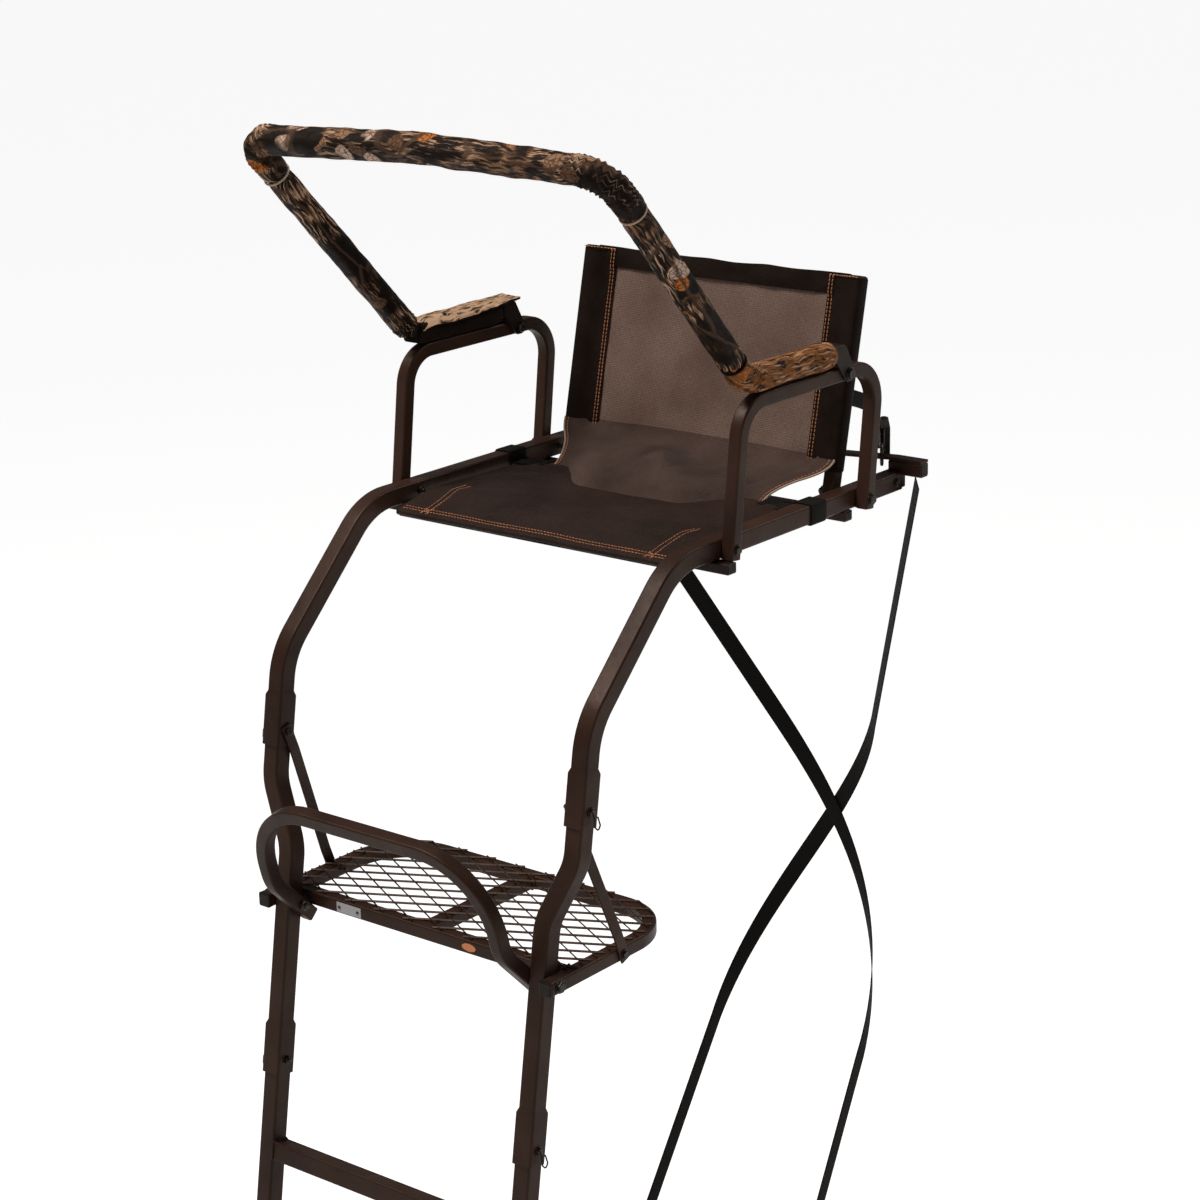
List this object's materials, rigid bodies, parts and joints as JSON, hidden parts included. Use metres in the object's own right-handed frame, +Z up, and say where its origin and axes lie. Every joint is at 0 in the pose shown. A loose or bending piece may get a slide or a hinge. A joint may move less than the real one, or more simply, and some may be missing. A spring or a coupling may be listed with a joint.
{
  "type": "ladder tree stand",
  "caption": "Steel ladder stand for a tree: rungs, mesh platform with flip-up footrest, sling seat, padded shooting rail and straps to the trunk.",
  "frame": {"origin": "vertex of the V-shaped tree brace, on the centre plane, where the trunk nests, halfway through the blade's thickness", "axes": "+X towards the sitter's left, +Y from the sitter's back into the trunk, +Z up"},
  "size_m": [0.6106, 1.3906, 3.5874],
  "materials": {
    "powder_coat": "satin dark brown powder coat",
    "fasteners": "dark zinc",
    "black_plastic": "matt black",
    "seat_fabric": "dense dark brown weave",
    "mesh_fabric": "open grey-brown mesh",
    "camo_fabric": "leaf and bark print",
    "webbing": "black polyester webbing"
  },
  "bodies": {
    "stand": {"arm_bolt_left": "fasteners", "arm_bolt_right": "fasteners", "arm_left": "powder_coat", "arm_right": "powder_coat", "back_pivot_bolt_left": "fasteners", "back_pivot_bolt_right": "fasteners", "brace_bolt_left": "fasteners", "brace_bolt_right": "fasteners", "cross_strap_left": "webbing", "cross_strap_right": "webbing", "foot_left": "black_plastic", "foot_right": "black_plastic", "footrest_bolt_left": "fasteners", "footrest_bolt_right": "fasteners", "ladder_pin_left": "fasteners", "ladder_pin_right": "fasteners", "lower_ladder_rail_left": "powder_coat", "lower_ladder_rail_right": "powder_coat", "platform_bars": "powder_coat", "platform_brace_bolt_left": "fasteners", "platform_brace_bolt_right": "fasteners", "platform_brace_left": "powder_coat", "platform_brace_right": "powder_coat", "platform_cap_left": "black_plastic", "platform_cap_right": "black_plastic", "platform_frame": "powder_coat", "platform_mesh": "powder_coat", "platform_pin_left": "fasteners", "platform_pin_right": "fasteners", "platform_rail_left": "powder_coat", "platform_rail_right": "powder_coat", "ratchet_frame": "fasteners", "rung_1": "powder_coat", "rung_2": "powder_coat", "rung_3": "powder_coat", "rung_4": "powder_coat", "rung_5": "powder_coat", "rung_6": "powder_coat", "seat_front_crossbar": "black_plastic", "seat_pin_left": "fasteners", "seat_pin_right": "fasteners", "seat_rail_left": "powder_coat", "seat_rail_right": "powder_coat", "seat_rear_crossbar": "powder_coat", "seat_sling": "seat_fabric", "shooting_rail_bolt_left": "fasteners", "shooting_rail_bolt_right": "fasteners", "tie_hook_left": "fasteners", "tie_hook_right": "fasteners", "tie_strap": "webbing", "tree_brace": "powder_coat", "upper_ladder_rail_left": "powder_coat", "upper_ladder_rail_right": "powder_coat"},
    "shooting_rail": {"shooting_rail": "powder_coat", "shooting_rail_pad": "camo_fabric"},
    "footrest": {"footrest": "powder_coat"},
    "backrest": {"back_post_left": "powder_coat", "back_post_right": "powder_coat", "back_sling": "mesh_fabric"},
    "ratchet_lever": {"ratchet_lever": "fasteners"}
  },
  "joints": [
    {"name": "shooting_rail_lift", "type": "hinge", "parent": "stand", "child": "shooting_rail", "pos_m": [0, -0.1223, 0.1515], "axis": [-1, 0, 0], "range_deg": [0, 66]},
    {"name": "footrest_flip", "type": "hinge", "parent": "stand", "child": "footrest", "pos_m": [0, -0.684, -0.5095], "axis": [-1, 0, 0], "range_deg": [0, 88]},
    {"name": "backrest_fold", "type": "hinge", "parent": "stand", "child": "backrest", "pos_m": [0, -0.06737, -0.0275], "axis": [1, 0, 0], "range_deg": [0, 90]},
    {"name": "ratchet_lever_hinge", "type": "hinge", "parent": "stand", "child": "ratchet_lever", "pos_m": [0.18595, 0.11571, 0.014], "axis": [0, 0, 1], "range_deg": [0, 120]}
  ]
}
